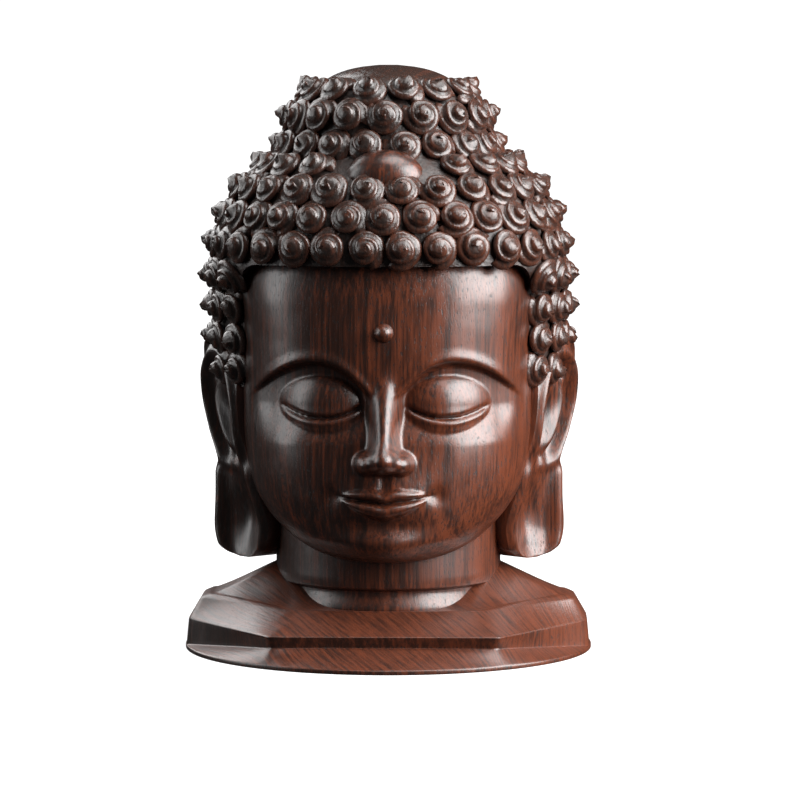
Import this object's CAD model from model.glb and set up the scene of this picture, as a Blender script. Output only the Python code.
"""Looks of a small wooden Buddha head, carved from one block and waxed to a soft shine."""

from math import pi, tau

import bpy
import numpy as np
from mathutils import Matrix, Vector


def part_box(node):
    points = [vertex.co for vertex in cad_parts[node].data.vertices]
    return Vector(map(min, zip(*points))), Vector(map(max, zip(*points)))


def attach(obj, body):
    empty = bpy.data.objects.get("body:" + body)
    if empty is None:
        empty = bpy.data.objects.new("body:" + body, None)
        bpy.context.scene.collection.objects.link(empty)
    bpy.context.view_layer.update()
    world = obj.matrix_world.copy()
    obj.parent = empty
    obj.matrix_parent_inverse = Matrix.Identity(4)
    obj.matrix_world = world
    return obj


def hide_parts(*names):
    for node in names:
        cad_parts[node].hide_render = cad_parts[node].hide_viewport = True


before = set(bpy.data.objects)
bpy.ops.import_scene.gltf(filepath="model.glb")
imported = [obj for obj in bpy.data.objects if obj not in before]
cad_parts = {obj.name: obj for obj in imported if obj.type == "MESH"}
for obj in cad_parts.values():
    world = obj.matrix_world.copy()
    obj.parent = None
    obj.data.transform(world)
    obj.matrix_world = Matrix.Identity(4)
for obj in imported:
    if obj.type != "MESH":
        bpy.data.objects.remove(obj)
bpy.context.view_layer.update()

# The bust: a round foot, an eight-sided slab, a sloping chest and a short neck, all sawn and
# chiselled from the foot of the block. The grain stands upright, so the slopes show end grain
# with the chisel's fine slanting marks, and the walls show long dark pores.
MM = 0.001
block_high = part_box("buddha_head")[1]
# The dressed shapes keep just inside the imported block.
INSIDE = 0.9995
FOOT_RADIUS = block_high.x * INSIDE
FOOT_LIP = 0.45 * MM
FOOT_TOP = 2.0 * MM
FOOT_EDGE_ROUND = 0.25 * MM
SLAB_HALF_WIDTH = FOOT_RADIUS - 0.45 * MM
SLAB_HALF_DEPTH = FOOT_RADIUS - 4.4 * MM
# Facets: how long the outline's front side is, then its left and right sides.
SLAB_FACETS = (23.0 * MM, 6.4 * MM)
SLAB_WALL = 1.15 * MM
SLAB_UNDERCUT = 0.5 * MM
SLAB_FLARE = 0.25 * MM
CHEST_HALF_WIDTH = SLAB_HALF_WIDTH - 1.3 * MM
CHEST_HALF_DEPTH = SLAB_HALF_DEPTH - 5.3 * MM
CHEST_FACETS = (19.4 * MM, 6.0 * MM)
CHEST_RISE = 1.9 * MM
SHOULDER_RISE = 4.0 * MM
SHOULDER_HOLLOW = 0.2 * MM
NAPE_SHARE = 0.75
CHEST_EDGE_SHARE = 0.08
SLAB_LEVEL = FOOT_TOP + SLAB_WALL
CHEST_LEVEL = SLAB_LEVEL + CHEST_RISE
CORNER_CRISPNESS = 110
RIM_SOFTNESS = 0.14 * MM
RING_STEP = 0.45 * MM
BUST_COLUMNS = 480

# The neck, head, ears and hair are measured in thirds of the face: the neck up from the chest,
# the rest up from the chin.
THIRDS_ABOVE_CHEST = 5.495
THIRD = (block_high.z * INSIDE - CHEST_LEVEL) / THIRDS_ABOVE_CHEST
CHIN_LEVEL = CHEST_LEVEL + 0.495 * THIRD
NECK_HALF_WIDTH = 1.16
NECK_HALF_DEPTH = 1.17
NECK_FOOT_TAPER = 0.16
NECK_FRONT_FULLNESS = 0.7
NECK_TAPER_SPAN = (-0.05, 0.34)
NECK_CREASE = 0.19
NECK_CREASE_DEPTH = 0.08
NECK_CREASE_EDGE = 0.04
NECK_FOOT, NECK_TOP = -0.09, 0.95
CHIN_COVERS = 0.4
NECK_COLUMNS = 240
# How many tapers the collar lies inside the neck's width and depth.
COLLAR_INSET = (0.3, 1.3)


class Socket:
    """An output of a node, which plain arithmetic turns into Math nodes."""

    def __init__(self, finish, output):
        self.finish = finish
        self.output = output

    def math(self, operation, *values):
        return self.finish.node("Math", {"operation": operation}, dict(enumerate(values)))

    def __add__(self, other):
        return self.math("ADD", self, other)

    def __sub__(self, other):
        return self.math("SUBTRACT", self, other)

    def __rsub__(self, other):
        return self.math("SUBTRACT", other, self)

    def __mul__(self, other):
        return self.math("MULTIPLY", self, other)

    __radd__ = __add__
    __rmul__ = __mul__


class Finish:
    """A material and the nodes that colour it."""

    def __init__(self, name):
        self.material = bpy.data.materials.new(name)
        self.material.use_nodes = True
        self.tree = self.material.node_tree
        self.shader = self.tree.nodes["Principled BSDF"]

    def node(self, kind, settings=None, sockets=None, output=0):
        made = self.tree.nodes.new("ShaderNode" + kind)
        for name, value in (settings or {}).items():
            if name == "stops":
                ramp = made.color_ramp
                while len(ramp.elements) < len(value):
                    ramp.elements.new(0.5)
                for element, (position, colour) in zip(ramp.elements, value):
                    element.position = position
                    element.color = colour
            else:
                setattr(made, name, value)
        self.set(made, sockets or {})
        return Socket(self, made.outputs[output])

    def set(self, made, sockets):
        for name, value in sockets.items():
            if isinstance(value, Socket):
                self.tree.links.new(value.output, made.inputs[name])
            else:
                made.inputs[name].default_value = value

    def stretched(self, place, stretch):
        return self.node("VectorMath", {"operation": "MULTIPLY"}, {0: place, 1: stretch})

    def noise(self, place, scale, detail=2.0, rough=0.5):
        sockets = {"Vector": place, "Scale": scale, "Detail": detail, "Roughness": rough}
        return self.node("TexNoise", {}, sockets)

    def between(self, value, low, high):
        """0 below low and 1 above high, with a soft step between them."""
        sockets = {"Value": value, "From Min": low, "From Max": high}
        return self.node("MapRange", {"interpolation_type": "SMOOTHSTEP"}, sockets)

    def blend(self, share, first, second):
        return self.node("Mix", {"data_type": "RGBA"}, {0: share, 6: first, 7: second}, output=2)


PITH = (-60 * MM, 22 * MM, 0.0)
RING_WANDER = 1.0 * MM
RING_SCALE = 1300
# How far each layer of the grain is drawn out upright, then its scale, detail and roughness.
GRAIN_LAYERS = {
    "wander": (0.22, 130, 2, 0.5),
    "patches": (0.3, 75, 1, 0.5),
    "streaks": (0.03, 3600, 3, 0.6),
    "fibres": (0.035, 8000, 2, 0.5),
    "pits": (0.20, 8200, 1, 0.5),
}
WARMTH_ACROSS_BLOCK = 6.0
HEARTWOOD_REACH = 53 * MM
DARK_WOOD = (0.013, 0.0055, 0.0035, 1)
BROWN_WOOD = (0.036, 0.0115, 0.0065, 1)
RED_WOOD = (0.138, 0.034, 0.0135, 1)
PORE = (0.004, 0.002, 0.002, 1)
DULL_WOOD = (0.048, 0.032, 0.026, 1)
GROOVE = (0.014, 0.010, 0.008, 1)
MARK_SLANT = -1.0
MARK_STRETCH = (16, 1, 500)
MARK_SCALE = 3400


def waxed_wood(name, roughness, end_grain=0.0, recessed=False):
    """Dark red-brown hardwood with upright grain, in the block's own coordinates."""
    wood = Finish(name)
    place = wood.node("TexCoord", output="Object")
    grain = {
        layer: wood.noise(wood.stretched(place, (1, 1, upright)), scale, detail, rough)
        for layer, (upright, scale, detail, rough) in GRAIN_LAYERS.items()
    }
    streaks, fibres = grain["streaks"], grain["fibres"]
    pores = wood.between(grain["pits"], 0.61, 0.70)
    across_grain = {0: wood.stretched(place, (1, 1, 0)), 1: PITH}
    from_pith = wood.node("VectorMath", {"operation": "DISTANCE"}, across_grain, output="Value")
    ring = {"W": from_pith + RING_WANDER * grain["wander"], "Scale": RING_SCALE, "Detail": 4.0}
    bands = wood.node("TexNoise", {"noise_dimensions": "1D"}, ring)
    warmth = 0.40 * bands + 0.34 * grain["patches"] + 0.14 * fibres
    warmth = warmth + 0.23 * wood.between(streaks, 0.30, 0.70)
    warmth = warmth + WARMTH_ACROSS_BLOCK * (from_pith - HEARTWOOD_REACH)
    stops = [(0.44, DARK_WOOD), (0.61, BROWN_WOOD), (0.82, RED_WOOD)]
    colour = wood.node("ValToRGB", {"stops": stops}, {"Fac": warmth})
    colour = wood.blend(0.85 * pores, colour, PORE)
    bend = wood.node("NewGeometry", output="Pointiness")
    worn_edge, deep_corner = wood.between(bend, 0.52, 0.60), wood.between(bend, 0.48, 0.40)
    colour = wood.blend(0.5 * worn_edge, colour, RED_WOOD)
    colour = wood.blend(0.6 * deep_corner, colour, PORE)
    height = 0.008 * fibres - 0.004 * pores + 0.006 * streaks
    height = height + 0.10 * wood.noise(place, 260, 1)
    gloss = roughness + 0.16 * (fibres - 0.5) + 0.18 * pores
    if end_grain:
        facing = wood.node("NewGeometry", output="Normal")
        upward = wood.node("SeparateXYZ", {}, {0: facing}, output="Z")
        sloped = wood.between(upward, 0.25, 0.6)
        slant = {"Vector": place, "Rotation": (0, 0, MARK_SLANT), "Scale": MARK_STRETCH}
        marks = wood.node("Mapping", {"vector_type": "TEXTURE"}, slant)
        marks = wood.noise(marks, MARK_SCALE, 2, 0.6)
        sawn = wood.blend(wood.between(marks, 0.33, 0.62), BROWN_WOOD, RED_WOOD)
        colour = wood.blend(end_grain * sloped, colour, sawn)
        height = height + 0.03 * sloped * marks
        gloss = gloss + 0.02 * sloped
    if recessed:
        recess = wood.node("Attribute", {"attribute_name": "recess"}, output="Fac")
        colour = wood.blend(0.75 * recess, wood.blend(0.4, colour, DULL_WOOD), GROOVE)
        height = height + (0.07 + 0.08 * recess) * wood.noise(place, 1800, 3)
        gloss = gloss + 0.25 * recess
    bump = wood.node("Bump", {}, {"Strength": 1.0, "Distance": MM, "Height": height})
    wood.set(wood.shader, {"Base Color": colour, "Roughness": gloss, "Normal": bump})
    wood.set(wood.shader, {"Specular IOR Level": 0.72, "Coat Weight": 0.14, "Coat Roughness": 0.22})
    return wood.material


def carve(name, shells, material):
    """One mesh from closed shells: each is a stack of rings with a flat face at both ends."""
    points, faces = [], []
    for shell in shells:
        levels, count = shell.shape[:2]
        low = len(points)
        index = low + np.arange(levels * count).reshape(levels, count)
        after = np.roll(index, -1, axis=1)
        quads = np.stack([index[:-1], after[:-1], after[1:], index[1:]], axis=-1)
        faces += quads.reshape(-1, 4).tolist()
        faces += [index[0, ::-1].tolist(), index[-1].tolist()]
        points += shell.reshape(-1, 3).tolist()
    return finished(name, points, faces, material)


def finished(name, points, faces, material):
    mesh = bpy.data.meshes.new(name)
    mesh.from_pydata(points, [], faces)
    mesh.shade_smooth()
    mesh.materials.append(material)
    piece = bpy.data.objects.new(name, mesh)
    bpy.context.scene.collection.objects.link(piece)
    return piece


def of_the_block(piece):
    """The piece stands for its share of the one carved block."""
    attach(piece, "root")
    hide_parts("buddha_head")


def smoothstep(low, high, value):
    share = np.clip((value - low) / (high - low), 0.0, 1.0)
    return share * share * (3.0 - 2.0 * share)


def hill(offset, width):
    return np.exp(-((offset / width) ** 2))


def ring_at(angle, radius, height):
    """Points round the block: angle 0 is the front and pi/2 is +X."""
    height = np.broadcast_to(height, angle.shape)
    return np.stack([radius * np.sin(angle), -radius * np.cos(angle), height], axis=1)


def oval_radius(angle, half_width, half_depth):
    return 1 / np.hypot(np.sin(angle) / half_width, np.cos(angle) / half_depth)


def eight_sided(angle, half_width, half_depth, facets):
    """Radius of an eight-sided outline, its corners just taken off."""
    front, side = facets[0] / 2, facets[1] / 2
    run, rise = half_width - front, half_depth - side
    slant = np.hypot(run, rise)
    reach = (front * rise + half_depth * run) / slant
    across, along = np.abs(np.sin(angle)), np.abs(np.cos(angle))
    facing = [across / half_width, along / half_depth, (across * rise + along * run) / slant / reach]
    return np.sum(np.array(facing) ** CORNER_CRISPNESS, axis=0) ** (-1 / CORNER_CRISPNESS)


def softened(rings, softness):
    """The same walls with every edge between them rounded over."""
    rounded = [rings[0]]
    for before, corner, after in zip(rings[:-2], rings[1:-1], rings[2:]):
        ends = []
        for other in (before, after):
            away = other - corner
            length = np.linalg.norm(away, axis=1, keepdims=True)
            ends.append(corner + away * np.minimum(softness / length, 0.45))
        for t in np.linspace(0, 1, 5):
            rounded.append((1 - t) ** 2 * ends[0] + 2 * t * (1 - t) * corner + t * t * ends[1])
    return [*rounded, rings[-1]]


def spaced(rings, step):
    """The same walls with rings no further apart than the step."""
    close = [rings[0]]
    for last, ring in zip(rings[:-1], rings[1:]):
        gap = np.linalg.norm(ring - last, axis=1).max()
        parts = max(1, int(np.ceil(gap / step)))
        close += [last + (ring - last) * k / parts for k in range(1, parts + 1)]
    return np.array(close)


def bust():
    angle = np.arange(BUST_COLUMNS) * tau / BUST_COLUMNS
    slab = eight_sided(angle, SLAB_HALF_WIDTH, SLAB_HALF_DEPTH, SLAB_FACETS)
    chest = eight_sided(angle, CHEST_HALF_WIDTH, CHEST_HALF_DEPTH, CHEST_FACETS)
    side_facet = SLAB_FACETS[1] / 2
    forward = (slab * np.abs(np.cos(angle)) - side_facet) / (SLAB_HALF_DEPTH - side_facet)
    forward = np.clip(forward, 0, 1)
    slab_foot = slab - SLAB_UNDERCUT * forward + SLAB_FLARE * (1 - forward)
    slab_foot = np.minimum(slab_foot, FOOT_RADIUS - 0.2 * SLAB_FLARE)
    slope_level = FOOT_LIP + (FOOT_TOP - FOOT_LIP) * forward
    sides = np.sin(angle) ** 2
    nape = NAPE_SHARE * np.clip(-np.cos(angle), 0, 1) ** 2
    rise = SHOULDER_RISE * (sides**2 + nape)
    half_width = (NECK_HALF_WIDTH - COLLAR_INSET[0] * NECK_FOOT_TAPER) * THIRD
    half_depth = (NECK_HALF_DEPTH - COLLAR_INSET[1] * NECK_FOOT_TAPER) * THIRD
    collar_radius = oval_radius(angle, half_width, half_depth)
    chest_top = ring_at(angle, chest, CHEST_LEVEL + CHEST_EDGE_SHARE * rise)
    collar = ring_at(angle, collar_radius, CHEST_LEVEL + rise)
    walls = softened([
        ring_at(angle, FOOT_RADIUS - FOOT_EDGE_ROUND, 0.0),
        ring_at(angle, FOOT_RADIUS, 0.0),
        ring_at(angle, FOOT_RADIUS, FOOT_LIP),
        ring_at(angle, slab_foot, slope_level),
        ring_at(angle, slab, SLAB_LEVEL),
        chest_top,
        chest_top + 0.1 * (collar - chest_top),
    ], RIM_SOFTNESS)
    for share in np.linspace(0.1, 1, 16)[1:]:
        # The hollow is deepest, at 1, a third of the way in.
        hollow = 27 / 4 * share * (1 - share) ** 2
        shoulder = chest_top + share * (collar - chest_top)
        shoulder[:, 2] -= SHOULDER_HOLLOW * sides * hollow
        walls.append(shoulder)
    # The top closes out of sight inside the neck.
    walls.append(ring_at(angle, 0.75 * collar_radius, CHEST_LEVEL + rise))
    return spaced(walls, RING_STEP)


def neck():
    angle = np.arange(NECK_COLUMNS) * tau / NECK_COLUMNS
    rings = []
    front = NECK_FRONT_FULLNESS * np.clip(np.cos(angle), 0, 1) ** 0.5
    in_sight = np.linspace(NECK_FOOT, CHIN_COVERS, 60)
    in_head = np.linspace(CHIN_COVERS, NECK_TOP, 12)[1:]
    for height in [*in_sight, *in_head]:
        taper = NECK_FOOT_TAPER * (1 - smoothstep(*NECK_TAPER_SPAN, height))
        above_crease = smoothstep(NECK_CREASE + NECK_CREASE_EDGE, NECK_CREASE, height)
        swell = -NECK_CREASE_DEPTH * smoothstep(0.0, NECK_CREASE, height) * above_crease
        swell = swell - taper * (1 - front)
        radius = THIRD * oval_radius(angle, NECK_HALF_WIDTH + swell, NECK_HALF_DEPTH + swell)
        rings.append(ring_at(angle, radius, CHEST_LEVEL + height * THIRD))
    return np.array(rings)


bust_wood = waxed_wood("bust_wood", 0.36, end_grain=0.75)
bust_and_foot = carve("bust_and_foot", [bust(), neck()], bust_wood)
of_the_block(bust_and_foot)

# The head: a full oval face cut on a carver's canon of three equal thirds from chin to hairline,
# with closed lids, a straight nose and full lips, rubbed smooth and waxed. The small round
# boss between the brows is left standing from the same wood.
HAIRLINE = 3.0
# Level sections: height, half width, depth in front, depth behind, and squareness, 2 for an ellipse.
HEAD_SECTIONS = np.array([
    (0.00, 0.20, 1.14, -0.80, 2.00),
    (0.04, 0.52, 1.40, -0.40, 2.00),
    (0.14, 0.80, 1.52, 0.00, 2.00),
    (0.28, 1.01, 1.57, 0.30, 2.10),
    (0.48, 1.21, 1.58, 0.60, 2.15),
    (0.72, 1.36, 1.58, 0.95, 2.20),
    (1.00, 1.45, 1.58, 1.25, 2.20),
    (1.40, 1.50, 1.57, 1.45, 2.25),
    (1.80, 1.50, 1.57, 1.50, 2.30),
    (2.20, 1.49, 1.59, 1.50, 2.35),
    (2.60, 1.46, 1.57, 1.50, 2.35),
    (3.00, 1.41, 1.49, 1.45, 2.30),
    (3.40, 1.25, 1.30, 1.25, 2.20),
    (3.70, 0.90, 0.95, 0.95, 2.10),
    (3.85, 0.30, 0.32, 0.35, 2.00),
])
HEAD_TOP = HEAD_SECTIONS[-1, 0]
FRONT_COLUMNS, BACK_COLUMNS = 261, 61
CHIN_TOP = 0.3
CHIN_ROWS, FACE_ROWS, CROWN_ROWS = 34, 160, 10
TEMPLE_FULLNESS = 0.08
CHEEK = (0.88, 1.10)
CHEEK_RISE = 0.05
BROW_PEAK = (0.68, 2.06)
EYE = (0.63, 1.62)
EYE_SIZE = (0.43, 0.29)
EYELID_RISE = 0.13
LASH_DROP = 0.13
LASH_DEPTH = 0.045
SOCKET_DEPTH = 0.125
NOSE_WING = (0.17, 1.05)
NOSE_WING_RISE = 0.38
NOSE_TIP_HEIGHT = 1.10
NOSE_TIP_RISE = 0.54
# Height, how far the ridge stands out, and half the width of its foot.
NOSE_SECTIONS = np.array([
    (0.87, -0.14, 0.20),
    (0.93, 0.08, 0.25),
    (1.00, 0.30, 0.29),
    (1.10, 0.385, 0.29),
    (1.20, 0.355, 0.26),
    (1.38, 0.28, 0.24),
    (1.62, 0.19, 0.25),
    (1.82, 0.115, 0.29),
    (1.98, 0.05, 0.36),
    (2.15, -0.01, 0.42),
])
MOUTH_HEIGHT = 0.665
MOUTH_HALF_WIDTH = 0.46
LIP_HEIGHTS = (0.14, 0.17)
LIP_RISES = (0.07, 0.085)
CHIN = (0.41, 0.19)
CHIN_RELIEF = (0.055, 0.09)
URNA_HEIGHT = 2.34
URNA_RADIUS = 0.095
URNA_RISE = 0.085
URNA_BURIED = 0.20


def smooth_max(first, second, blend):
    return (first + second + np.sqrt((first - second) ** 2 + blend * blend) - blend) / 2


def stations(table, height):
    """The table's other columns at the given heights, on a smooth curve with no overshoot."""
    keys = table[:, 0]
    values = table[:, 1:]
    steps = np.diff(keys)[:, None]
    slopes = np.diff(values, axis=0) / steps
    tangents = np.zeros_like(values)
    same_way = slopes[:-1] * slopes[1:] > 0
    total = np.where(same_way, slopes[:-1] + slopes[1:], 1.0)
    tangents[1:-1] = np.where(same_way, 2.0 * slopes[:-1] * slopes[1:] / total, 0.0)
    tangents[0] = slopes[0]
    tangents[-1] = slopes[-1]
    height = np.clip(np.atleast_1d(height), keys[0], keys[-1])
    i = np.clip(np.searchsorted(keys, height, side="right") - 1, 0, len(keys) - 2)
    t = ((height - keys[i]) / steps[i, 0])[:, None]
    return (
        values[i] * (1 + 2 * t) * (1 - t) ** 2
        + tangents[i] * steps[i] * t * (1 - t) ** 2
        + values[i + 1] * t * t * (3 - 2 * t)
        + tangents[i + 1] * steps[i] * t * t * (t - 1)
    )


def oval(table, height, angle):
    """Points of a table's horizontal section: angle 0 is the front and pi/2 is +X."""
    half_width, front, back, squareness = stations(table, height).T
    power = 2.0 / squareness
    across = np.sign(np.sin(angle)) * np.abs(np.sin(angle)) ** power
    along = np.sign(np.cos(angle)) * np.abs(np.cos(angle)) ** power
    middle = (back - front) / 2
    return half_width * across, middle - (front + back) / 2 * along


def on_block(x, y, z):
    """From face thirds above the chin to metres on the block."""
    return np.stack([x * THIRD, y * THIRD, z * THIRD + CHIN_LEVEL], axis=-1)


def brows_and_lids(side, z):
    """Eye sockets under arched brows, with closed lids that meet in a lash line."""
    spread = side - BROW_PEAK[0]
    brow = BROW_PEAK[1] - np.where(spread > 0, 0.75, 1.15) * spread**2
    socket = smoothstep(1.20, EYE[1], z) * smoothstep(1.42, 1.12, side)
    bulge = -SOCKET_DEPTH * smoothstep(-0.01, 0.07, brow - z) * socket
    bulge += 0.02 * hill(brow - z + 0.03, 0.06) * smoothstep(1.36, 1.1, side)

    from_eye = side - EYE[0]
    lash = EYE[1] - LASH_DROP + 0.10 * (from_eye / 0.38) ** 2
    on_lash = smoothstep(EYE_SIZE[0], 0.8 * EYE_SIZE[0], np.abs(from_eye))
    ball = np.clip(1 - (from_eye / EYE_SIZE[0]) ** 2 - ((z - EYE[1]) / EYE_SIZE[1]) ** 2, 0, 1)
    bulge += EYELID_RISE * ball**0.8 * np.where(z < lash, 0.72, 1.0)
    bulge -= LASH_DEPTH * hill(z - lash, 0.022) * on_lash
    bulge += 0.018 * hill(z - lash + 0.06, 0.03) * on_lash
    return bulge


def nose(side, z):
    """A straight ridge with a round tip and wings, sunk under the face round its foot."""
    sunk = SOCKET_DEPTH + 0.015
    ridge, foot = stations(NOSE_SECTIONS, z.ravel()).T.reshape(2, *z.shape)
    bridge = (ridge + sunk) * np.clip(1 - (side / foot) ** 2, 0, 1) ** 1.5
    from_tip = (side / 0.20) ** 2 + ((z - NOSE_TIP_HEIGHT) / 0.18) ** 2
    tip = NOSE_TIP_RISE * np.sqrt(np.clip(1 - from_tip, 0, 1))
    from_wing = ((side - NOSE_WING[0]) / 0.16) ** 2 + ((z - NOSE_WING[1]) / 0.14) ** 2
    wing = NOSE_WING_RISE * np.sqrt(np.clip(1 - from_wing, 0, 1))
    inside = (z > NOSE_SECTIONS[0, 0]) & (z < NOSE_SECTIONS[-1, 0])
    return np.where(inside, smooth_max(smooth_max(bridge, tip, 0.07), wing, 0.10), 0.0) - sunk


def mouth_and_chin(side, z):
    """Full closed lips with a groove above and below them, and a round chin. CHIN holds the
    heights of the lower groove and of the chin itself."""
    bulge = 0.10 * hill(side, 0.50) * hill(z - 0.70, 0.33)
    bulge -= 0.028 * hill(side, 0.05) * smoothstep(0.76, 0.82, z) * smoothstep(0.95, 0.9, z)
    along = side / MOUTH_HALF_WIDTH
    line = MOUTH_HEIGHT - 0.02 * hill(side, 0.08) + 0.05 * along**2
    width = np.clip(1 - along**2, 0, 1) ** 0.8
    upper = LIP_HEIGHTS[0] * width * (1 - 0.22 * hill(side, 0.06)) + 1e-6
    lower = LIP_HEIGHTS[1] * width + 1e-6
    bulge += LIP_RISES[0] * np.sin(pi * np.clip((z - line) / upper, 0, 1)) ** 0.7 * width
    bulge += LIP_RISES[1] * np.sin(pi * np.clip((line - z) / lower, 0, 1)) ** 0.7 * width
    bulge -= 0.04 * hill(z - line, 0.025) * smoothstep(1.17, 0.83, along)
    beside = hill(side - MOUTH_HALF_WIDTH - 0.06, 0.09) * hill(z - MOUTH_HEIGHT - 0.055, 0.09)
    bulge -= 0.035 * beside
    bulge -= CHIN_RELIEF[0] * hill(side, 0.34) * hill(z - CHIN[0], 0.09)
    bulge += CHIN_RELIEF[1] * hill(side, 0.34) * hill(z - CHIN[1], 0.20)
    return bulge


def face_relief(x, z):
    """How far the carving of the face stands out from the plain head, all in face thirds."""
    side = np.abs(x)
    cheek = CHEEK_RISE * hill(side - CHEEK[0], 0.42) * hill(z - CHEEK[1], 0.42)
    upper_face = smooth_max(brows_and_lids(side, z), nose(side, z), 0.025)
    return upper_face + mouth_and_chin(side, z) + cheek


def head():
    front = np.linspace(-pi / 2, pi / 2, FRONT_COLUMNS)
    back = np.linspace(pi / 2, 3 * pi / 2, BACK_COLUMNS)[1:-1]
    angle = np.concatenate([front, back])
    chin = CHIN_TOP * np.linspace(0, 1, CHIN_ROWS) ** 1.6
    face = np.linspace(CHIN_TOP, HAIRLINE, FACE_ROWS)[1:]
    crown = np.linspace(HAIRLINE, HEAD_TOP, CROWN_ROWS)[1:]
    rings = []
    for z in [*chin, *face, *crown]:
        x, y = oval(HEAD_SECTIONS, np.full_like(angle, z), angle)
        temples = smoothstep(2.1, 2.9, z) * smoothstep(3.5, HAIRLINE, z)
        x = x * (1 + TEMPLE_FULLNESS * temples)
        y = y - face_relief(x, np.full_like(x, z)) * smoothstep(0.0, 0.45, np.cos(angle))
        rings.append(on_block(x, y, np.full_like(x, z)))
    return np.array(rings)


def pebble(centre, size, around, levels):
    """A smooth ellipsoid, its centre and half sizes in face thirds."""
    angle = np.arange(around) * tau / around
    rings = []
    for tilt in np.linspace(-0.495 * pi, 0.495 * pi, levels):
        x = centre[0] + size[0] * np.cos(tilt) * np.sin(angle)
        y = centre[1] - size[1] * np.cos(tilt) * np.cos(angle)
        rings.append(on_block(x, y, np.full(around, centre[2] + size[2] * np.sin(tilt))))
    return np.array(rings)


def forehead(z):
    x, y = oval(HEAD_SECTIONS, np.array([z]), np.array([0.0]))
    return float(y[0] - face_relief(x, np.array([z]))[0])


urna_depth = URNA_BURIED + URNA_RISE
urna_radius = URNA_RADIUS / np.sqrt(1 - (URNA_BURIED / urna_depth) ** 2)
urna_centre = (0.0, forehead(URNA_HEIGHT) + URNA_BURIED, URNA_HEIGHT)
urna = pebble(urna_centre, (urna_radius, urna_depth, urna_radius), around=40, levels=33)
face_wood = waxed_wood("face_wood", 0.32)
head_and_face = carve("head_and_face", [head(), urna], face_wood)
of_the_block(head_and_face)

# The ears: long slabs of the same block, with a rolled rim, an inner ridge and a hollow, and
# lobes that hang almost to the shoulders. They are cut with a gouge and waxed like the face.
EAR_THICKNESS = 0.34
EAR_RIM = 0.09
EAR_HOLLOW = 0.13
# Height, then x and y of the front edge and of the rear edge.
EAR_SECTIONS = np.array([
    (-0.07, 1.44, -0.14, 1.54, -0.03),
    (-0.03, 1.31, -0.27, 1.67, 0.10),
    (0.06, 1.22, -0.36, 1.76, 0.19),
    (0.25, 1.19, -0.41, 1.79, 0.23),
    (0.60, 1.28, -0.46, 1.77, 0.22),
    (0.95, 1.40, -0.48, 1.76, 0.24),
    (1.25, 1.48, -0.48, 1.82, 0.32),
    (1.60, 1.52, -0.46, 1.90, 0.39),
    (1.88, 1.55, -0.38, 1.93, 0.38),
    (2.04, 1.59, -0.26, 1.93, 0.31),
    (2.13, 1.65, -0.12, 1.92, 0.22),
    (2.18, 1.72, 0.01, 1.88, 0.13),
])
EAR_ROWS, EAR_FRONT_COLUMNS, EAR_BACK_COLUMNS = 130, 70, 24


def ear_relief(across, height):
    """Carving of an ear's outer face: across runs from -1 at the front edge to 1 at the rear."""
    outline = (np.abs(across) ** 2.4 + np.abs((height - 1.42) / 0.76) ** 2.4) ** (1 / 2.4)
    upper = smoothstep(0.78, 1.05, height)
    lobe = 1 - upper
    rim = EAR_RIM * (hill(outline - 0.86, 0.13) * upper + hill(np.abs(across) - 0.80, 0.22) * lobe)
    groove = 0.5 * EAR_HOLLOW * hill(outline - 0.60, 0.12) * upper * smoothstep(-0.3, 0.2, across)
    inner_ridge = 0.28 + 0.22 * np.sin(2.6 * (height - 1.15))
    ridge = 0.5 * EAR_RIM * hill(across - inner_ridge, 0.16) * upper * smoothstep(1.95, 1.75, height)
    hollow = EAR_HOLLOW * hill(across + 0.22, 0.38) * hill(height - 1.38, 0.34)
    lobe_hollow = 0.75 * EAR_HOLLOW * hill(across + 0.05, 0.42) * hill(height - 0.42, 0.36)
    return rim + ridge - groove - hollow - lobe_hollow


def ear(side):
    bottom, top = EAR_SECTIONS[0, 0], EAR_SECTIONS[-1, 0]
    heights = bottom + (top - bottom) * (1 - np.cos(np.linspace(0, pi, EAR_ROWS))) / 2
    across = np.sin(np.linspace(-pi / 2, pi / 2, EAR_FRONT_COLUMNS))
    back = np.cos(np.linspace(0, pi, EAR_BACK_COLUMNS))
    rings = []
    for z in heights:
        fx, fy, rx, ry = stations(EAR_SECTIONS, z)[0]
        front, rear = np.array([fx, fy]), np.array([rx, ry])
        middle, half = (front + rear) / 2, (rear - front) / 2
        out = np.array([half[1], -half[0]]) / np.linalg.norm(half)
        fade = smoothstep(0.1, 0.45, np.linalg.norm(half))
        lift = fade * ear_relief(across, np.full_like(across, z))
        carved = middle + across[:, None] * half + lift[:, None] * out
        plain = middle + back[:, None] * half - EAR_THICKNESS * out
        ring = np.concatenate([carved, plain])[::side]
        rings.append(on_block(ring[:, 0] * side, ring[:, 1], np.full(len(ring), z)))
    return np.array(rings)


ears = carve("ears", [ear(1), ear(-1)], face_wood)
of_the_block(ears)

# The hair: a cap that leaves a window for the face, rising to a smooth crown, with level rows of
# snail-shell curls. Each curl is turned up with a small gouge in two or three steps to a blunt
# nub, and the wood between them stays rough and dark.
CROWN_EDGE = 4.6
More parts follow.
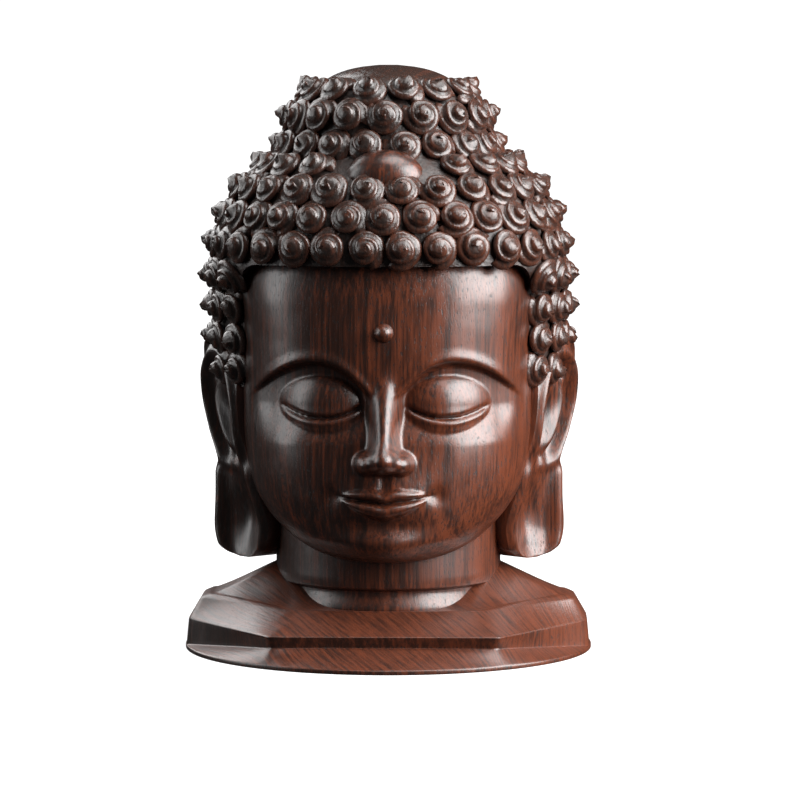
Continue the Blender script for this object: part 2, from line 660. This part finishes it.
# Level sections in the same columns as the head's.
HAIR_SECTIONS = np.array([
    (0.25, 1.28, 1.00, 1.30, 2.05),
    (0.60, 1.42, 1.05, 1.48, 2.05),
    (1.00, 1.55, 1.10, 1.62, 2.05),
    (1.60, 1.69, 1.15, 1.75, 2.05),
    (2.20, 1.77, 1.19, 1.80, 2.05),
    (2.65, 1.79, 1.28, 1.80, 2.05),
    (2.97, 1.78, 1.60, 1.78, 2.15),
    (3.30, 1.72, 1.58, 1.72, 2.15),
    (3.55, 1.62, 1.50, 1.62, 2.10),
    (3.80, 1.46, 1.36, 1.48, 2.10),
    (3.97, 1.28, 1.20, 1.32, 2.05),
    (4.08, 1.13, 1.06, 1.20, 2.00),
    (4.25, 1.04, 0.97, 1.13, 2.00),
    (4.50, 0.97, 0.90, 1.06, 2.00),
    (4.66, 0.87, 0.80, 0.97, 2.00),
    (4.76, 0.75, 0.70, 0.84, 2.00),
    (4.87, 0.61, 0.57, 0.69, 2.00),
    (4.94, 0.45, 0.41, 0.51, 2.00),
    (4.98, 0.28, 0.25, 0.33, 2.00),
    (5.00, 0.10, 0.09, 0.12, 2.00),
])
HAIR_FOOT, HAIR_TOP = HAIR_SECTIONS[0, 0], HAIR_SECTIONS[-1, 0]
CAP_COLUMNS, CAP_ROWS, CROWN_CAP_ROWS = 240, 90, 24
WINDOW_ANGLE = np.radians(72)
WINDOW_FLARE = np.radians(20)
WINDOW_CORNER = 0.26
SIDEBURN_END = 1.72
SIDEBURN_BACK = 0.35
CUTTER_REACH = 3.0
JEWEL_CENTRE = (-1.13, 3.86)
JEWEL_SIZE = (0.40, 0.27, 0.29)
PARTING_HEIGHT = 3.91
GROUND_DEPTH = 0.85
CURL_PITCH = 3.6 * MM / THIRD
CURL_ROW_PITCH = 3.2 * MM / THIRD
CURL_OVERLAP = 0.10 * MM / THIRD
TOP_CURL_ROW = 4.72
CURL_HEIGHT = 1.60 * MM
CURL_SUNK = 0.32 * MM
CURL_TURNS = 2.4
CURL_STEP = 0.20
CURL_NUB = 0.26
CURL_FOOT, CURL_TAPER = 1.32, 1.19
COLUMNS = 20
COIL_ROWS = 4
HAND_SEED = 4
HAND_LEAN, HAND_WIDTH, HAND_HEIGHT = 0.09, 0.04, 0.07


def hair_cap():
    angle = np.arange(CAP_COLUMNS) * tau / CAP_COLUMNS
    side = np.linspace(HAIR_FOOT, CROWN_EDGE, CAP_ROWS)
    crown = np.linspace(CROWN_EDGE, HAIR_TOP, CROWN_CAP_ROWS)[1:]
    rings = []
    for z in [*side, *crown]:
        x, y = oval(HAIR_SECTIONS, np.full_like(angle, z), angle)
        rings.append(on_block(x, y, np.full_like(x, z)))
    return np.array(rings)


def window_side(z):
    """Half the window's width, and its y, where its side meets the head at a height."""
    x, y = oval(HEAD_SECTIONS, np.array([z]), np.array([WINDOW_ANGLE]))
    into_corner = np.clip((z - HAIRLINE) / WINDOW_CORNER + 1, 0, 1)
    return x[0] - WINDOW_CORNER * (1 - np.sqrt(1 - into_corner**2)), y[0]


def in_window(x, y, z):
    half_width, side_y = window_side(z)
    flared = half_width + (side_y - y) * np.tan(WINDOW_FLARE)
    return (z < HAIRLINE) & (y < side_y) & (np.abs(x) < flared)


def face_window():
    """Cutter with rounded upper corners that opens the hair in front of the face."""
    corner = HAIRLINE - WINDOW_CORNER * (1 - np.sin(np.linspace(0, pi / 2, 13)))
    side = np.linspace(0.8 * SIDEBURN_END, HAIRLINE - WINDOW_CORNER, 9)[:-1]
    reach = 2 * HEAD_SECTIONS[:, 2].max()
    rings = []
    for z in [*side, *corner]:
        half_width, side_y = window_side(z)
        flared = half_width + reach * np.tan(WINDOW_FLARE)
        x = np.array([half_width, -half_width, -flared, flared])
        y = np.array([side_y, side_y, side_y - reach, side_y - reach])
        rings.append(on_block(x, y, np.full_like(x, z)))
    return np.array(rings)


def sideburn_cut():
    """Cutter that ends the sideburns part of the way down the ears."""
    x = CUTTER_REACH * np.array([-1, 1, 1, -1])
    y = np.array([-CUTTER_REACH, -CUTTER_REACH, SIDEBURN_BACK, SIDEBURN_BACK])
    return np.array([on_block(x, y, np.full_like(x, z)) for z in (0.0, SIDEBURN_END)])


def has_hair(x, y, z, margin):
    """Whether a curl with this much room round it stands clear of the ears and jewel."""
    if y < SIDEBURN_BACK + margin and z < SIDEBURN_END + 0.8 * margin:
        return False
    ear_front, ear_back, ear_top = -0.16, 0.60, EAR_SECTIONS[-1, 0]
    if ear_front < y < ear_back and z < ear_top:
        return False
    across = x / (JEWEL_SIZE[0] + 0.5 * margin)
    up = (z - PARTING_HEIGHT) / (0.55 * JEWEL_SIZE[2])
    if y < 0 and np.hypot(across, up) < 1:
        return False
    return z > HAIR_FOOT + 0.8 * margin


def curl_rows():
    """Heights of the rows, an even step apart along the hair's side, and whether each is offset."""
    z = np.linspace(HAIR_FOOT, HAIR_TOP, 600)
    half_width = stations(HAIR_SECTIONS, z)[:, 0]
    walked = np.concatenate([[0], np.cumsum(np.hypot(np.diff(z), np.diff(half_width)))])
    first = np.interp(HAIRLINE + 0.55 * CURL_ROW_PITCH, z, walked)
    last = np.interp(TOP_CURL_ROW, z, walked)
    below = int(first / CURL_ROW_PITCH)
    above = int(round((last - first) / CURL_ROW_PITCH))
    even = (last - first) / above
    return [
        (float(np.interp(first + k * (even if k > 0 else CURL_ROW_PITCH), walked, z)), k % 2 == 0)
        for k in range(-below, above + 1)
    ]


def curl_places():
    """Foot, outward direction and radius of each curl, in metres. A row that the window
    interrupts starts with a whole curl at each side of it."""
    places = []
    for z, offset in curl_rows():
        turn = np.linspace(0, tau, 721)
        x, y = oval(HAIR_SECTIONS, np.full_like(turn, z), turn)
        hair = ~in_window(x, y, z)
        interrupted = not hair.all()
        turn, x, y = turn[hair], x[hair], y[hair]
        walked = np.concatenate([[0], np.cumsum(np.hypot(np.diff(x), np.diff(y)))])
        count = int(round(walked[-1] / CURL_PITCH)) + (offset and interrupted)
        spacing = walked[-1] / count
        radius = (min(spacing, CURL_ROW_PITCH) + CURL_OVERLAP) / 2
        first = 0.5 if offset or interrupted else 0.0
        for i in range(count):
            angle = np.interp((i + first) * spacing, walked, turn)
            near = np.array([angle, angle + 1e-3, angle])
            heights = np.array([z, z, z + 1e-3])
            px, py = oval(HAIR_SECTIONS, heights, near)
            here, along, up = on_block(px, py, heights)
            if not has_hair(px[0], py[0], z, radius):
                continue
            out = np.cross(along - here, up - here)
            places.append((here, out / np.linalg.norm(out), radius * THIRD))
    return places


def snail_shell():
    """One curl of radius and height 1: points, faces, and how deep each point lies in a groove."""
    last = int(COLUMNS * CURL_TURNS)
    column, row = np.meshgrid(np.arange(last + 1), np.arange(COIL_ROWS), indexing="ij")
    tail = np.arange(last - COLUMNS + 1, last + 1)
    column = np.concatenate([column.ravel(), tail])
    row = np.concatenate([row.ravel(), np.full(len(tail), COIL_ROWS)])
    wound = (column / COLUMNS + row / COIL_ROWS) / (CURL_TURNS + 1)
    coil = np.sin(pi * row / COIL_ROWS) ** 0.6
    angle = tau * column / COLUMNS
    step = CURL_STEP * coil * (1 - 0.5 * wound)
    radius = (CURL_FOOT - CURL_TAPER * wound**0.88) * (1 + 0.03 * np.sin(3.4 * angle))
    radius = radius + step * np.cos(0.5 * pi * wound)
    height = (1 - CURL_NUB) * np.sin(0.5 * pi * wound) ** 0.9
    height = height + CURL_NUB * smoothstep(0.62, 0.95, wound)
    height = height + step * np.sin(0.5 * pi * wound)
    points = np.stack([radius * np.cos(angle), radius * np.sin(angle), height], axis=1)
    groove = 0.7 * (1 - coil) * (wound < 0.9) + 0.6 * smoothstep(0.20, 0.03, wound)

    def at(s, v):
        """Number of the point s columns along the coil and v rows across it."""
        if v < COIL_ROWS:
            return s * COIL_ROWS + v
        return at(s + COLUMNS, 0) if s + COLUMNS <= last else (last + 1) * COIL_ROWS + s - tail[0]

    faces = [
        (at(s, v), at(s + 1, v), at(s + 1, v + 1), at(s, v + 1))
        for s in range(last)
        for v in range(COIL_ROWS)
    ]
    nub, foot = len(points), len(points) + 1
    points = np.concatenate([points, [(0.0, 0.0, 1.0 + 0.8 * CURL_STEP), (0.0, 0.0, -0.1)]])
    groove = np.concatenate([groove, [0.0, 1.0]])
    top = [at(last, v) for v in range(COIL_ROWS)] + [at(last, COIL_ROWS)]
    faces += [(nub, b, a) for a, b in zip(top[:-1], top[1:])]
    end = [at(s, COIL_ROWS) for s in range(last - COLUMNS, last + 1)]
    faces += [(nub, a, b) for a, b in zip(end[:-1], end[1:])]
    start = [at(0, v) for v in range(COIL_ROWS + 1)]
    faces += [(foot, b, a) for a, b in zip(start[1:], start[:-1])]
    base = [at(s, 0) for s in range(COLUMNS + 1)]
    faces += [(foot, b, a) for a, b in zip(base[:-1], base[1:])]
    return points, faces, np.clip(groove, 0, 1)


def curls():
    """Every curl, each cut a little differently by hand."""
    shell, faces, groove = snail_shell()
    hand = np.random.default_rng(HAND_SEED)
    points, joined = [], []
    for foot, out, radius in curl_places():
        lean = hand.uniform(-HAND_LEAN, HAND_LEAN, 2)
        spin = hand.uniform(0, tau)
        wide = 1 + hand.uniform(-HAND_WIDTH, HAND_WIDTH)
        tall = 1 + hand.uniform(-HAND_HEIGHT, HAND_HEIGHT)
        across = np.cross((0.0, 0.0, 1.0), out)
        across /= np.linalg.norm(across)
        up = np.cross(out, across)
        turned = np.cos(spin) * across + np.sin(spin) * up
        other = np.cross(out, turned)
        axis = out + lean[0] * across + lean[1] * up
        local = shell * (radius * wide, radius * wide, CURL_SUNK + CURL_HEIGHT * tall)
        placed = foot - CURL_SUNK * out + local @ np.array([turned, other, axis])
        joined += [tuple(i + len(points) for i in face) for face in faces]
        points += placed.tolist()
    return points, joined, np.tile(groove, len(points) // len(shell))


def shade_recess(piece, depth):
    """Tell the finish how deep each point lies, from 0 to 1."""
    recess = piece.data.attributes.new("recess", "FLOAT", "POINT")
    recess.data.foreach_set("value", depth.astype(np.float32))


hair_wood = waxed_wood("hair_wood", 0.25, recessed=True)
cap = carve("hair_cap", [hair_cap()], hair_wood)
cutters = [
    carve("face_window", [face_window()], hair_wood),
    carve("sideburn_cut", [sideburn_cut()], hair_wood),
]
for cutter in cutters:
    opening = cap.modifiers.new(cutter.name, "BOOLEAN")
    opening.operation = "DIFFERENCE"
    opening.object = cutter
cut = bpy.data.meshes.new_from_object(cap.evaluated_get(bpy.context.evaluated_depsgraph_get()))
cap.modifiers.clear()
cap.data = cut
for cutter in cutters:
    bpy.data.objects.remove(cutter)
cap.data.shade_smooth()
cap.data.set_sharp_from_angle(angle=pi / 5)
place = np.zeros(len(cap.data.vertices) * 3)
cap.data.vertices.foreach_get("co", place)
above_curls = CHIN_LEVEL + (TOP_CURL_ROW + 0.5 * CURL_ROW_PITCH) * THIRD
shade_recess(cap, GROUND_DEPTH * smoothstep(above_curls, above_curls - 1.2 * MM, place[2::3]))
of_the_block(cap)

curl_points, curl_faces, curl_grooves = curls()
curled_hair = finished("curls", curl_points, curl_faces, hair_wood)
shade_recess(curled_hair, curl_grooves)
of_the_block(curled_hair)

# The jewel: a low oval boss at the front of the crown, left standing from the same block where
# the curls part, then rubbed smooth and waxed like the face.
jewel_shape = pebble((0.0, *JEWEL_CENTRE), JEWEL_SIZE, around=64, levels=33)
jewel = carve("jewel", [jewel_shape], face_wood)
of_the_block(jewel)

# The stage: pale paper that sweeps up all round, a large soft light at the right, a narrow strip
# at the left, weaker ones overhead and at the left behind, and the camera level with the crown.
FLOOR_RADIUS = 0.55
SWEEP_RADIUS = 0.45
WALL_TOP = 1.1
PAPER = (0.30, 0.30, 0.30, 1)
PAPER_GLOW = 0.94
LIGHTS_AIM = 0.035
ROOM = (0.03, 0.03, 0.031, 1)
CAMERA_DISTANCE = 0.400
CAMERA_HEIGHT = 0.058
CAMERA_TURN = 1.5
AIM = Vector((0.00120, 0.0, 0.0255))
LENS = 175.0
FILM_WIDTH = 36.0

sweep = np.linspace(0, pi / 2, 13)
profile = [(0.02, 0.0), (FLOOR_RADIUS, 0.0)]
profile += [
    (FLOOR_RADIUS + SWEEP_RADIUS * np.sin(a), SWEEP_RADIUS * (1 - np.cos(a))) for a in sweep[1:]
]
profile.append((FLOOR_RADIUS + SWEEP_RADIUS, WALL_TOP))
around_stage = np.arange(96) * tau / 96
paper = Finish("pale_paper")
paper.set(paper.shader, {"Base Color": PAPER, "Roughness": 0.9, "Specular IOR Level": 0.0})
paper.set(paper.shader, {"Emission Color": (1, 1, 1, 1), "Emission Strength": PAPER_GLOW})
paper_rings = np.array([ring_at(around_stage, r, z) for r, z in profile])
backdrop = carve("backdrop", [paper_rings], paper.material)
backdrop.visible_diffuse = False
backdrop.visible_glossy = False


def soft_light(name, turn, lift, distance, size, power):
    """A soft box: turn is degrees from the front towards +X, lift is degrees above the floor."""
    turn, lift = np.radians(turn), np.radians(lift)
    away = Vector((np.sin(turn) * np.cos(lift), -np.cos(turn) * np.cos(lift), np.sin(lift)))
    lamp = bpy.data.lights.new(name, "AREA")
    lamp.shape = "RECTANGLE"
    lamp.size, lamp.size_y = size
    lamp.energy = power
    light = bpy.data.objects.new(name, lamp)
    light.location = Vector((0, 0, LIGHTS_AIM)) + distance * away
    light.rotation_euler = away.to_track_quat("Z", "Y").to_euler()
    light.visible_camera = False
    bpy.context.scene.collection.objects.link(light)


soft_light("right_soft_box", turn=70, lift=24, distance=0.45, size=(0.42, 0.40), power=6.1)
soft_light("left_strip", turn=-84, lift=18, distance=0.50, size=(0.22, 0.40), power=0.95)
soft_light("overhead", turn=65, lift=72, distance=0.60, size=(0.44, 0.34), power=2.8)
soft_light("left_fill", turn=-135, lift=30, distance=0.60, size=(0.50, 0.44), power=2.6)

world = bpy.data.worlds.new("dim_room")
world.use_nodes = True
world.node_tree.nodes["Background"].inputs["Color"].default_value = ROOM
bpy.context.scene.world = world
bpy.context.scene.view_settings.view_transform = "Standard"

lens = bpy.data.cameras.new("camera")
lens.lens = LENS
lens.sensor_width = FILM_WIDTH
lens.clip_start, lens.clip_end = 0.01, 10.0
camera = bpy.data.objects.new("camera", lens)
turn = np.radians(CAMERA_TURN)
camera.location = (
    AIM.x + CAMERA_DISTANCE * np.sin(turn),
    -CAMERA_DISTANCE * np.cos(turn),
    CAMERA_HEIGHT,
)
camera.rotation_euler = (AIM - camera.location).to_track_quat("-Z", "Y").to_euler()
bpy.context.scene.collection.objects.link(camera)
bpy.context.scene.camera = camera
